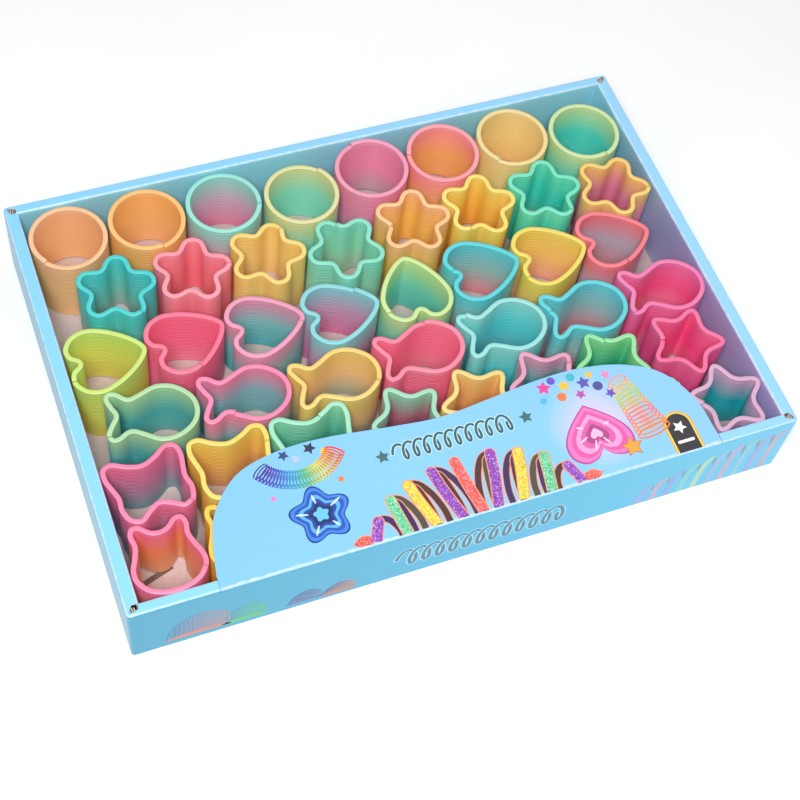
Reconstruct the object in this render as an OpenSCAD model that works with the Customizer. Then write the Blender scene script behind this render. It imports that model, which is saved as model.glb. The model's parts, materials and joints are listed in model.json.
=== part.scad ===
// Counter tray of spring coil toys: a folded carton tray, a header card on its front edge,
// and forty-eight small plastic spring coils of seven outlines, standing loose in six rows.
// Frame: X along the front edge, Y from front to back, Z up. The origin is the middle of the
// tray's underside. Millimetres.

/* [Tray] */
// Length of the tray over its folded walls
tray_l = 300; // [300:1:304]
// Depth of the tray over its folded walls
tray_w = 208.6; // [208.6:0.2:212]
// Height of the rim above the table
tray_h = 39; // [38.5:0.5:48]
// Thickness of the folded end walls, left and right
end_fold = 6; // [4:0.5:6]
// Thickness of the folded front and back walls
side_fold = 5; // [4:0.5:5]
// Thickness of the carton board
board = 0.8; // [0.5:0.1:1]
// Radius of the upright corners
corner_r = 1.6; // [1:0.2:3]

/* [Header card] */
// Length of the header card along the hinge crease
card_l = 224; // [216:1:224]
// Reach of the card over the toys, from the crease to its higher wave
card_reach = 54; // [50:0.5:54]

/* [Spring coils] */
// Height of a closed coil
coil_h = 36.8; // [34:0.2:36.8]
// Radial width of the plastic strip that the coils are wound from
strip_w = 2.4; // [1.8:0.1:2.4]
// Outside radius of a round coil
round_r = 17.5; // [16:0.1:17.5]
// Size of the shaped coils, as a share of their largest
shape_size = 1; // [0.9:0.01:1]

/* [Hidden] */
$fn = 72;
floor_t = 1;
coil_foot = floor_t;
coil_mid = coil_foot + coil_h / 2;
coil_top = coil_foot + coil_h;
joint_gap = 0.3;
under_card = card_l + 2 * joint_gap;
eps = 1;

// Smooth closed outlines -------------------------------------------------------------------

// One point of a Catmull-Rom curve between b and c, at share t of the way
function curve_point(a, b, c, d, t) =
    0.5 * (2 * b + (c - a) * t + (2 * a - 5 * b + 4 * c - d) * t * t
           + (3 * b - a - 3 * c + d) * t * t * t);

// A closed curve through the points p, with k steps from each point to the next
function smooth_loop(p, k) = let (n = len(p)) [
    for (i = [0 : n - 1], j = [0 : k - 1])
        curve_point(p[(i + n - 1) % n], p[i], p[(i + 1) % n], p[(i + 2) % n], j / k)
];

// An open curve through the points p, with k steps from each point to the next
function smooth_line(p, k) = let (n = len(p)) [
    for (i = [0 : n - 2], j = [0 : k - 1])
        curve_point(i == 0 ? 2 * p[0] - p[1] : p[i - 1], p[i], p[i + 1],
                    i == n - 2 ? 2 * p[n - 1] - p[n - 2] : p[i + 2], j / k),
    p[n - 1]
];

// The points of a half outline, then the same points mirrored about the X axis
function mirror_about_x(h) = let (n = len(h)) [
    for (i = [0 : 2 * n - 3]) i < n ? h[i] : [h[2 * n - 2 - i][0], -h[2 * n - 2 - i][1]]
];

// The points of a half outline, then the same points mirrored about the Y axis
function mirror_about_y(h) = let (n = len(h)) [
    for (i = [0 : 2 * n - 3]) i < n ? h[i] : [-h[2 * n - 2 - i][0], h[2 * n - 2 - i][1]]
];

// A closed wavy outline with five lobes; a sets their height and b how pointed they are
function five_lobes(r, a, b, n) = [
    for (i = [0 : n - 1])
        let (t = 360 * i / n, rr = r + a * cos(5 * t) + b * cos(10 * t))
            [rr * cos(t), rr * sin(t)]
];

// Half outlines of the shaped coils: the heart's tip and the fish's head point along +X
heart_half = [
    [17.8, 0], [15.5, 4.7], [9.8, 10], [2.4, 14.5], [-5.3, 16.7], [-12.4, 14.5],
    [-16.5, 8.8], [-15.7, 3.5], [-12, 0]
];
fish_half = [
    [20.2, 0], [17.9, 7.3], [10.8, 12.9], [2.6, 13.9], [-5.2, 10.2], [-9.4, 8.7],
    [-13.7, 11.6], [-17.7, 11.9], [-19.5, 8.5], [-17.5, 3.5], [-15.8, 0]
];
butterfly_half = [
    [0, 10.9], [5.9, 12.8], [11.5, 16], [16.4, 14.5], [17.6, 9], [16.2, 2.5],
    [15.5, -1.5], [16.2, -6.9], [14.3, -12.8], [9.2, -15.3], [4.4, -12.4], [0, -10.3]
];
cat_half = [
    [0, 12], [3.4, 13], [7, 16.2], [10.8, 16.2], [12.6, 12.4], [12, 7.6], [13.2, 3.2],
    [15.4, -2.5], [15.2, -8], [11.4, -13.4], [5.4, -16.2], [0, -16.8]
];

// The outer outline of a shaped coil, anticlockwise
function outline(shape) = shape_size * (
    shape == "flower" ? five_lobes(15.65, 2.9, -0.4, 50)
    : shape == "star" ? five_lobes(14.6, 3.05, 0.4, 50)
    : shape == "heart" ? smooth_loop(mirror_about_x(heart_half), 3)
    : shape == "fish" ? smooth_loop(mirror_about_x(fish_half), 3)
    : shape == "butterfly" ? reverse(smooth_loop(mirror_about_y(butterfly_half), 3))
    : reverse(smooth_loop(mirror_about_y(cat_half), 3)));

function reverse(p) = [for (i = [len(p) - 1 : -1 : 0]) p[i]];

// The outline p moved inwards by w, along the normal at each point
function inset(p, w) = let (n = len(p)) [
    for (i = [0 : n - 1])
        let (t = p[(i + 1) % n] - p[(i + n - 1) % n], m = norm(t))
            p[i] + w * [-t[1], t[0]] / m
];

// Where the toys stand ---------------------------------------------------------------------

// One entry for each toy of a shape: X, Y and turn in degrees, then its colour
round_coils = [
    [-126, 81.5, 0, "#E8B27C"], [-90, 81.5, 0, "#F7A437"], [-54, 81, 0, "#7FD6C4"],
    [-18, 76, 0, "#BFE3A8"], [18.5, 81.5, 0, "#E58FA8"], [54.5, 81, 0, "#F0875F"],
    [90.5, 81, 0, "#EBCB8A"], [126, 74.5, 0, "#5FB8A6"]
];
flower_coils = [
    [-113, 49, 75, "#35BFC6"], [-78.5, 49, 72, "#F4788A"], [-44, 48, 62, "#E9C23C"],
    [-8.5, 41.5, 40, "#6FD3B4"], [26.5, 47, 72, "#F39A4C"], [59.5, 47, 72, "#F2B03E"],
    [93, 46.5, 72, "#3FB7A4"], [126, 40, 52, "#C9839A"]
];
heart_coils = [
    [-126.5, 15, 0, "#B9CC50"], [-90.8, 14.5, 12, "#F2668C"], [-56, 12, 0, "#4FA7A4"],
    [-22, 9, 0, "#B85C9E"], [13.2, 11, 85, "#5DC2A5"], [47.5, 12.5, 0, "#3FAFC0"],
    [81, 11.5, 0, "#EDAF33"], [113.6, 11.5, 0, "#E8737B"]
];
fish_coils = [
    [-115.5, -17, -10, "#3D98A0"], [-75.5, -19.5, -5, "#D97A9C"], [-35.5, -23, 0, "#D4A44A"],
    [4.5, -20.5, 0, "#EE5E7E"], [44.5, -20, 0, "#58BFC0"], [84, -21.5, 0, "#7C8FB4"],
    [123.7, -20.5, -4, "#D53C86"]
];
butterfly_coils = [
    [-125, -49.7, 6, "#E05C86"], [-89.5, -50, 0, "#E3B23A"], [-53.8, -50.5, 0, "#3FA98A"]
];
star_coils = [
    [-11.7, -51.8, 36, "#B0566F"], [20.3, -51.8, 36, "#E0A04C"], [52.2, -51.8, 36, "#2F9B98"],
    [84.2, -51.5, 36, "#2EA36F"], [121.1, -50.6, 54, "#E8387F"], [126.4, -83.9, 16, "#1E9A9C"]
];
cat_pitch = 31.9;
cat_colours = [
    "#F08A5A", "#E8A32C", "#59BFA8", "#E56E93", "#4AA3C4", "#C9C24A", "#E98A4A", "#7FD9A8"
];
cat_coils = [for (i = [0 : 7]) [-127.9 + cat_pitch * i, -82.3, 0, cat_colours[i]]];

// The toys that are made in two halves, so that they can be stretched: one of each of six shapes
split_coils = [
    "round_coil_2", "flower_coil_7", "heart_coil_4", "fish_coil_6", "butterfly_coil_1",
    "star_coil_5"
];

function is_split(name) = len([for (s = split_coils) if (s == name) s]) > 0;

// The entries of one shape as [name, shape, x, y, turn, colour]
function named(shape, list) = [
    for (i = [0 : len(list) - 1]) concat([str(shape, "_coil_", i + 1), shape], list[i])
];

toys = concat(
    named("round", round_coils), named("flower", flower_coils), named("heart", heart_coils),
    named("fish", fish_coils), named("butterfly", butterfly_coils), named("star", star_coils),
    named("cat", cat_coils)
);

whole_toys = [for (t = toys) if (!is_split(t[0])) t];
split_toys = [for (t = toys) if (is_split(t[0])) t];

// Tray -------------------------------------------------------------------------------------

// A rectangle about the origin with rounded corners
function rounded_rect(l, w, r) = [
    for (q = [0 : 3], i = [0 : 5])
        let (a = 90 * q + 18 * i, sx = (q == 0 || q == 3) ? 1 : -1, sy = q < 2 ? 1 : -1)
            [sx * (l / 2 - r) + r * cos(a), sy * (w / 2 - r) + r * sin(a)]
];

// The air between the two boards of each folded wall. Where the header card folds over it,
// the front wall's rim lies one board lower.
module fold_hollow() {
    difference() {
        translate([0, 0, -eps])
            linear_extrude(tray_h - board + eps)
                difference() {
                    polygon(rounded_rect(tray_l - 2 * board, tray_w - 2 * board,
                                         corner_r - board));
                    square([tray_l - 2 * end_fold + 2 * board,
                            tray_w - 2 * side_fold + 2 * board], center = true);
                }
        translate([-under_card / 2 - board, -tray_w / 2, tray_h - 2 * board])
            cube([under_card + 2 * board, side_fold, 2 * board]);
    }
}

// All four folded walls in one ring
module wall_ring() {
    difference() {
        linear_extrude(tray_h)
            difference() {
                polygon(rounded_rect(tray_l, tray_w, corner_r));
                square([tray_l - 2 * end_fold, tray_w - 2 * side_fold], center = true);
            }
        fold_hollow();
        // the boards stand on the floor sheet
        translate([0, 0, floor_t / 2])
            cube([tray_l - 2 * board, tray_w - 2 * board, floor_t], center = true);
    }
}

// The plan of one wall between its two mitres; the side walls lie at sx, the others at sy
module mitre_wedge(sx, sy) {
    reach = 3;
    x0 = tray_l / 2 + end_fold * (reach - 1);
    y0 = tray_w / 2 + side_fold * (reach - 1);
    x1 = tray_l / 2 - end_fold * reach;
    y1 = tray_w / 2 - side_fold * reach;
    translate([0, 0, -eps])
        linear_extrude(tray_h + 2 * eps)
            polygon(sx != 0
                ? [[sx * x0, -y0], [sx * x0, y0], [sx * x1, y1], [sx * x1, -y1]]
                : [[-x0, sy * y0], [x0, sy * y0], [x1, sy * y1], [-x1, sy * y1]]);
}

// The small lozenge of bare board edges that is left open where two rims meet
module corner_lozenges() {
    long = 5.4;
    wide = 2.2;
    for (sx = [-1, 1], sy = [-1, 1])
        translate([sx * (tray_l - end_fold) / 2, sy * (tray_w - side_fold) / 2, tray_h - 3 * board])
            rotate([0, 0, atan2(sy * side_fold, sx * end_fold)])
                linear_extrude(4 * board)
                    polygon([[-long / 2, 0], [0, -wide / 2], [long / 2, 0], [0, wide / 2]]);
}

module folded_wall(sx, sy) {
    difference() {
        intersection() {
            wall_ring();
            mitre_wedge(sx, sy);
        }
        corner_lozenges();
    }
}

module left_wall() color("#46B4E1") folded_wall(-1, 0);

module right_wall() color("#5CC0E8") folded_wall(1, 0);

module back_wall() color("#7FB6E6") folded_wall(0, 1);

module front_wall() {
    color("#4CC0EC")
        difference() {
            folded_wall(0, -1);
            // room for the header card on its rim
            translate([-under_card / 2, -tray_w / 2 - eps, tray_h - board])
                cube([under_card, side_fold + 2 * eps, board + eps]);
        }
}

// The floor sheet, with the slanted slots that lock the corner tabs
module tray_floor() {
    slot_l = 14;
    slot_w = 2.6;
    slot_turn = 18;
    slot_x = 130;
    slot_y = 73;
    color("#B9A3A0")
        difference() {
            translate([0, 0, floor_t / 2])
                cube([tray_l - 2 * board, tray_w - 2 * board, floor_t], center = true);
            for (sx = [-1, 1], sy = [-1, 1])
                translate([sx * slot_x, sy * slot_y, floor_t / 2])
                    rotate([0, 0, sx * sy * slot_turn])
                        cube([slot_l, slot_w, floor_t + eps], center = true);
        }
}

// Header card ------------------------------------------------------------------------------

// Its free edge has two low waves: each point is a share of the half length and of the reach
card_edge = [
    [-1, 0.12], [-0.975, 0.37], [-0.93, 0.63], [-0.81, 0.885], [-0.64, 0.985], [-0.45, 0.99],
    [-0.2, 0.93], [0, 0.895], [0.2, 0.935], [0.43, 0.985], [0.61, 0.985], [0.78, 0.91],
    [0.91, 0.745], [0.985, 0.45], [1, 0.12]
];

module header_card() {
    crease_y = -tray_w / 2;
    free_edge = smooth_line([
        for (p = card_edge) [p[0] * card_l / 2, crease_y + p[1] * card_reach]
    ], 3);
    color("#9BDCFF")
        translate([0, 0, tray_h - board])
            linear_extrude(board)
                polygon(concat([[card_l / 2, crease_y], [-card_l / 2, crease_y]], free_edge));
}

// Spring coils -----------------------------------------------------------------------------

// The closed stack of turns, from height z0 to z1, as a tube of the strip's width
module coil_stack(t, z0, z1) {
    color(t[5])
        translate([t[2], t[3], z0])
            rotate([0, 0, t[4]])
                if (t[1] == "round") {
                    difference() {
                        cylinder(r = round_r, h = z1 - z0);
                        translate([0, 0, -eps])
                            cylinder(r = round_r - strip_w, h = z1 - z0 + 2 * eps);
                    }
                } else {
                    linear_extrude(z1 - z0)
                        difference() {
                            polygon(outline(t[1]));
                            polygon(inset(outline(t[1]), strip_w));
                        }
                }
}

tray_floor();
front_wall();
back_wall();
left_wall();
right_wall();
header_card();
for (t = whole_toys)
    coil_stack(t, coil_foot, coil_top);
for (t = split_toys) {
    coil_stack(t, coil_foot, coil_mid);
    coil_stack(t, coil_mid, coil_top);
}
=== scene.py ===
"""The looks of a counter tray of spring coil toys: a folded carton tray with a printed header card
on its front edge, and forty-eight small plastic spring coils that stand loose in it."""

import json
import math

import bmesh
import bpy
import numpy as np
from mathutils import Matrix, Quaternion, Vector


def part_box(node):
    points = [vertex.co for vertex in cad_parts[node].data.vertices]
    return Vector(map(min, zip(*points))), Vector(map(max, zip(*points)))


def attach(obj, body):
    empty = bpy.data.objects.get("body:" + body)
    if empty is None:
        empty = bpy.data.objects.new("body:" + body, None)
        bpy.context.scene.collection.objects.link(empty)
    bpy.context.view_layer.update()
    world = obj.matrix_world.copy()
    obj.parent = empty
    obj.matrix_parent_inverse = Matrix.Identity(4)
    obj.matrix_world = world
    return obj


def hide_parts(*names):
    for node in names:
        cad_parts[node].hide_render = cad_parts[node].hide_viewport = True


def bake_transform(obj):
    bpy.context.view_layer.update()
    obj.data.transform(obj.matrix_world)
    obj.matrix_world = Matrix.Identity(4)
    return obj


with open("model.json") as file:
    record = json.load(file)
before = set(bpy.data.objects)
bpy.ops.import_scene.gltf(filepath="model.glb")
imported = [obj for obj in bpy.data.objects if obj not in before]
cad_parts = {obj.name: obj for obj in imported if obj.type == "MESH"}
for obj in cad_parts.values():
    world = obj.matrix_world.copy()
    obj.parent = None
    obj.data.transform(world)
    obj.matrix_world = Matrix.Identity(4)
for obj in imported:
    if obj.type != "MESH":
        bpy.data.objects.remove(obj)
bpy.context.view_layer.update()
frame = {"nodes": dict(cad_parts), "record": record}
MM = 0.001


# Camera ---------------------------------------------------------------------------------
# A hand-held product shot from above the tray's front left corner, about 0.7 m away and
# turned a little about its own line of sight, so that the tray lies slanted in the frame.

CAMERA_AT = Vector((-0.1853, -0.3495, 0.6084))
CAMERA_SIGHT = Vector((0.25628, 0.45805, -0.85118))
CAMERA_ROLL = math.radians(10.3)
CAMERA_LENS = 70.458  # mm
SENSOR_WIDE = 36  # mm

camera_data = bpy.data.cameras.new("tray_camera")
camera_data.lens = CAMERA_LENS
camera_data.sensor_width = SENSOR_WIDE
camera = bpy.data.objects.new("tray_camera", camera_data)
bpy.context.scene.collection.objects.link(camera)
camera.rotation_mode = "QUATERNION"
camera.location = CAMERA_AT
camera.rotation_quaternion = CAMERA_SIGHT.to_track_quat("-Z", "Y") @ Quaternion(
    (0, 0, 1), CAMERA_ROLL
)
bpy.context.scene.camera = camera
bpy.context.scene.view_settings.view_transform = "Standard"


# Studio ---------------------------------------------------------------------------------
# A light table of white acrylic in a white tent, with a soft box beside the camera that
# reaches down into the coils, and a weaker strip from behind on the right.


def linear(colour):
    """An sRGB hex colour as linear RGBA."""
    parts = [int(colour[i : i + 2], 16) / 255 for i in (1, 3, 5)]
    return (*[p / 12.92 if p <= 0.04045 else ((p + 0.055) / 1.055) ** 2.4 for p in parts], 1)


def node(tree, kind, inputs=None, **settings):
    """Adds a node: settings are its own, and inputs are values or (node, output) to link."""
    made = tree.nodes.new(kind)
    for name, value in settings.items():
        setattr(made, name, value)
    for name, value in (inputs or {}).items():
        if isinstance(value, tuple) and isinstance(value[0], bpy.types.Node):
            tree.links.new(value[0].outputs[value[1]], made.inputs[name])
        else:
            made.inputs[name].default_value = value
    return made


def material_of(name, base, roughness=0.5, **sockets):
    """A Principled material with its uniform values on the shader's own sockets."""
    made = bpy.data.materials.new(name)
    made.use_nodes = True
    shader = made.node_tree.nodes["Principled BSDF"]
    shader.inputs["Base Color"].default_value = linear(base)
    shader.inputs["Roughness"].default_value = roughness
    for socket, value in sockets.items():
        shader.inputs[socket.replace("_", " ")].default_value = value
    return made, made.node_tree, shader


TABLE_HALF = 3.0
WORLD_LIGHT = 0.34

world = bpy.data.worlds.new("white_studio")
bpy.context.scene.world = world
world.use_nodes = True
world.node_tree.nodes["Background"].inputs["Color"].default_value = linear("#FFFFFF")
world.node_tree.nodes["Background"].inputs["Strength"].default_value = WORLD_LIGHT

for name, at, size, watts in (
    ("front_soft_box", (-0.255, -0.43, 0.87), 0.32, 8.3),
    ("back_strip", (0.5, 0.5, 0.95), 0.7, 1.3),
):
    light = bpy.data.lights.new(name, "AREA")
    light.size = size
    light.energy = watts
    lamp = bpy.data.objects.new(name, light)
    bpy.context.scene.collection.objects.link(lamp)
    lamp.location = at
    lamp.rotation_mode = "QUATERNION"
    lamp.rotation_quaternion = (-Vector(at)).to_track_quat("-Z", "Y")


def mesh_object(name, points, faces, materials=(), face_materials=None, smooth=True):
    """A mesh object from points in metres and faces as lists of point numbers."""
    mesh = bpy.data.meshes.new(name)
    mesh.from_pydata([tuple(p) for p in points], [], [tuple(f) for f in faces])
    for m in materials:
        mesh.materials.append(m)
    if face_materials is not None:
        mesh.polygons.foreach_set("material_index", np.array(face_materials, np.int32))
    mesh.polygons.foreach_set("use_smooth", np.full(len(mesh.polygons), smooth))
    mesh.update()
    made = bpy.data.objects.new(name, mesh)
    bpy.context.scene.collection.objects.link(made)
    return made


table_top, tree, shader = material_of(
    "backlit_white_acrylic", "#FBFBFA", 0.8, Emission_Color=linear("#FFFFFF"), Emission_Strength=0.1
)
grain = node(tree, "ShaderNodeTexNoise", {"Scale": 90.0, "Detail": 4.0})
tint = node(
    tree,
    "ShaderNodeMix",
    {0: (grain, "Fac"), 6: linear("#FFFFFF"), 7: linear("#F8F8F7")},
    data_type="RGBA",
)
tree.links.new(tint.outputs[2], shader.inputs["Base Color"])
table = mesh_object(
    "light_table",
    [(x * TABLE_HALF, y * TABLE_HALF, 0) for x, y in ((-1, -1), (1, -1), (1, 1), (-1, 1))],
    [(0, 1, 2, 3)],
    [table_top],
)


# Tray floor -----------------------------------------------------------------------------
# One sheet of recycled grey board, die cut with the slots that lock the corner tabs. Pulp
# board is made of short mixed fibres, so it is matt, warm grey and finely flecked.

FIBRE = 0.0009  # length of the flecks, drawn about twice as coarse as real fibres


def grey_board(name, light, dark, fleck):
    """Uncoated recycled board: two greys in soft clouds with a scatter of darker fibres."""
    made, tree, shader = material_of(name, light, 0.82, Specular_IOR_Level=0.25)
    place = node(tree, "ShaderNodeTexCoord")
    clouds = node(
        tree, "ShaderNodeTexNoise", {"Vector": (place, "Object"), "Scale": 28.0, "Detail": 5.0}
    )
    fibres = node(
        tree,
        "ShaderNodeTexNoise",
        {"Vector": (place, "Object"), "Scale": 1 / FIBRE, "Detail": 3.0, "Distortion": 1.2},
    )
    cloudy = node(
        tree,
        "ShaderNodeMix",
        {0: (clouds, "Fac"), 6: linear(light), 7: linear(dark)},
        data_type="RGBA",
    )
    scatter = node(
        tree, "ShaderNodeMapRange", {"Value": (fibres, "Fac"), "From Min": 0.6, "From Max": 0.72}
    )
    flecked = node(
        tree,
        "ShaderNodeMix",
        {0: (scatter, "Result"), 6: (cloudy, 2), 7: linear(fleck)},
        data_type="RGBA",
    )
    tree.links.new(flecked.outputs[2], shader.inputs["Base Color"])
    bump = node(
        tree,
        "ShaderNodeBump",
        {"Height": (fibres, "Fac"), "Strength": 0.25, "Distance": 0.0001},
    )
    tree.links.new(bump.outputs["Normal"], shader.inputs["Normal"])
    return made


floor_board = grey_board("recycled_grey_board", "#D9C6C2", "#CDB8B4", "#A89690")
floor_mesh = frame["nodes"]["tray_floor"].data
floor_mesh.materials.clear()
floor_mesh.materials.append(floor_board)


# Folded walls ---------------------------------------------------------------------------
# Each wall is one strip of printed duplex board, creased twice over its rim and folded down
# inside, with its end tabs caught between the two skins. The creases are rounded and crack
# white, and where two rims meet at a corner a small lozenge of bare board is left open.

front_low, front_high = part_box("front_wall")
left_low, left_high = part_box("left_wall")
HALF_LENGTH = -left_low.x
HALF_WIDTH = -front_low.y
RIM_TOP = left_high.z
END_FOLD = left_high.x - left_low.x
SIDE_FOLD = front_high.y - front_low.y
BOARD = 0.8 * MM
FLOOR_TOP = 1.0 * MM
FOLD_ROUND = 1.1 * MM
CORNER_ROUND = 1.6 * MM
LOZENGE_LONG = 6.8 * MM
LOZENGE_WIDE = 3.2 * MM
LOZENGE_DEEP = 1.4 * MM
SEAM_ROOM = 0.7 * MM  # the stations along a wall stay this far from the corner's seam
SEAM_STEP = 0.65 * MM  # the last of them stands this far from it
SEAM_GAP = 0.05 * MM  # the two rims leave this much between them
SEAM_FAN = 0.5 * MM  # the stations round the corner spread over this much of the seam
OUTER_HEIGHTS = (0.3, 6, 14, 22, 30, 36)  # mm, from the foot up the outer skin
INNER_HEIGHTS = (36, 30, 22, 14, 6, 1.2)  # mm, down the inner skin to the floor
WALL_STEPS = 24
CORNER_STEPS = 4
RIM_STEP = 2e-4  # the share of a wall over which its rim drops by one board
PRINT_OUTER, PRINT_RIM, PRINT_INNER, BARE = range(4)


def crease(a):
    """A rounded crease at angle a: how far in from its face, how high, and how worn."""
    c, s = math.cos(math.radians(a)), math.sin(math.radians(a))
    wear = math.sin(2 * math.radians(a))
    return FOLD_ROUND * (1 - c), RIM_TOP - FOLD_ROUND * (1 - s), wear


def wall_section(fold):
    """The board's face from the outer foot over the rim to the inner foot, as (depth from the
    outer face, height, wear), the same path one board behind it, and the print of each row."""
    face, kinds = [], []
    for z in OUTER_HEIGHTS:
        face.append((0, z * MM, 0))
        kinds.append(PRINT_OUTER)
    for a in range(0, 91, 15):
        face.append(crease(a))
        kinds.append(PRINT_OUTER if a < 30 else PRINT_RIM)
    rim = fold - 2 * FOLD_ROUND
    for share in (0.08, 0.2, 0.35, 0.5, 0.65, 0.8, 0.92):
        face.append((FOLD_ROUND + rim * share, RIM_TOP, 0))
        kinds.append(PRINT_RIM)
    for a in range(90, -1, -15):
        depth, z, wear = crease(a)
        face.append((fold - depth, z, wear))
        kinds.append(PRINT_RIM if a > 45 else PRINT_INNER)
    for z in INNER_HEIGHTS:
        face.append((fold, z * MM, 0))
        kinds.append(PRINT_INNER)
    back = []
    inner = (FOLD_ROUND - BOARD) / FOLD_ROUND
    centre_z = RIM_TOP - FOLD_ROUND
    for u, z, _ in face:
        if z <= centre_z:
            back.append((BOARD if u < fold / 2 else fold - BOARD, z))
        elif FOLD_ROUND < u < fold - FOLD_ROUND:
            back.append((u, RIM_TOP - BOARD))
        else:
            centre_u = min(max(u, FOLD_ROUND), fold - FOLD_ROUND)
            back.append((centre_u + (u - centre_u) * inner, centre_z + (z - centre_z) * inner))
    return face, back, kinds


def wall_place(u, z, along, outward, half_span, half_reach, fold, other_fold, station):
    """A point of a wall: depth u inwards from its outer face, height z, at one station. A
    station is which end it is nearer, its share of the way there from the middle, and how far
    round the corner it lies, or None before the corner."""
    lean = (other_fold - CORNER_ROUND) / (fold - CORNER_ROUND)
    inner = max(u - CORNER_ROUND, 0)
    end = half_span - CORNER_ROUND - inner * lean
    if z > RIM_TOP - LOZENGE_DEEP and FOLD_ROUND * 0.9 < u < fold - FOLD_ROUND * 0.9:
        diagonal = math.hypot(fold, other_fold)
        half_u = LOZENGE_LONG / 2 * fold / diagonal
        pull = LOZENGE_WIDE / 2 * diagonal / fold
        end -= pull * max(0, 1 - abs(u - fold / 2) / half_u)
    side, share, arc = station
    depth = half_reach - u
    if arc is None:
        t = share * (half_span - other_fold)
        t = max(-end + SEAM_ROOM, min(end - SEAM_ROOM, t))
        if abs(share) == 1:
            t = share * (end - SEAM_STEP)
    else:
        spread = max(CORNER_ROUND - u, 0)
        if spread > 0:
            angle = math.radians(45) * arc
            depth = half_reach - CORNER_ROUND + spread * math.cos(angle)
            end = half_span - CORNER_ROUND + spread * math.sin(angle)
            t = side * end
        else:
            t = side * (end - SEAM_GAP - SEAM_FAN * (1 - arc))
    return along * t + outward * depth + Vector((0, 0, z))


def fold_wall(name, along, outward, half_span, half_reach, fold, other_fold, lowered=None):
    """One folded wall between its two corners; its rim drops one board within lowered."""
    face, back, kinds = wall_section(fold)
    shares = [-1 + 2 * i / WALL_STEPS for i in range(WALL_STEPS + 1)]
    if lowered:
        at_step = lowered / (half_span - other_fold)
        shares += [-at_step, -at_step + RIM_STEP, at_step - RIM_STEP, at_step]
        shares.sort()
    round_corner = [i / CORNER_STEPS for i in range(CORNER_STEPS + 1)]
    stations = [(-1, -1, 1 - arc) for arc in round_corner]
    stations += [(1, share, None) for share in shares]
    stations += [(1, 1, arc) for arc in round_corner]
    points, wear = [], []
    for station in stations:
        low = lowered and abs(station[1]) < at_step - RIM_STEP / 2
        for (u, z, worn), (bu, bz) in zip(face, back):
            if low:
                z, bz = min(z, RIM_TOP - BOARD), min(bz, RIM_TOP - 2 * BOARD)
            place = (along, outward, half_span, half_reach, fold, other_fold, station)
            points.append(wall_place(u, z, *place))
            points.append(wall_place(bu, bz, *place))
            wear += [0 if low else worn, 0]
    rows = len(face)
    faces, which = [], []

    def at(k, i, behind):
        return (k * rows + i) * 2 + behind

    for k in range(len(stations) - 1):
        for i in range(rows - 1):
            faces.append((at(k, i, 0), at(k + 1, i, 0), at(k + 1, i + 1, 0), at(k, i + 1, 0)))
            which.append(kinds[i])
            faces.append((at(k, i, 1), at(k, i + 1, 1), at(k + 1, i + 1, 1), at(k + 1, i, 1)))
            which.append(BARE)
        for i in (0, rows - 1):
            faces.append((at(k, i, 0), at(k, i, 1), at(k + 1, i, 1), at(k + 1, i, 0)))
            which.append(BARE)
    for k in (0, len(stations) - 1):
        for i in range(rows - 1):
            faces.append((at(k, i, 0), at(k, i + 1, 0), at(k, i + 1, 1), at(k, i, 1)))
            which.append(BARE)
    made = mesh_object(name, points, faces, wall_finishes, which)
    made.data.attributes.new("wear", "FLOAT", "POINT").data.foreach_set("value", wear)
    tidy_mesh(made)
    return made


def tidy_mesh(made, sharp_degrees=35, same=1e-7):
    """Joins points that are the same, turns the faces outwards and keeps sharp edges crisp."""
    work = bmesh.new()
    work.from_mesh(made.data)
    bmesh.ops.remove_doubles(work, verts=work.verts, dist=same)
    bmesh.ops.dissolve_degenerate(work, edges=work.edges, dist=same)
    bmesh.ops.recalc_face_normals(work, faces=work.faces)
    for edge in work.edges:
        if len(edge.link_faces) == 2:
            edge.smooth = edge.calc_face_angle() < math.radians(sharp_degrees)
    work.to_mesh(made.data)
    work.free()


WORN_LINING = "#F4F8FA"


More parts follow.
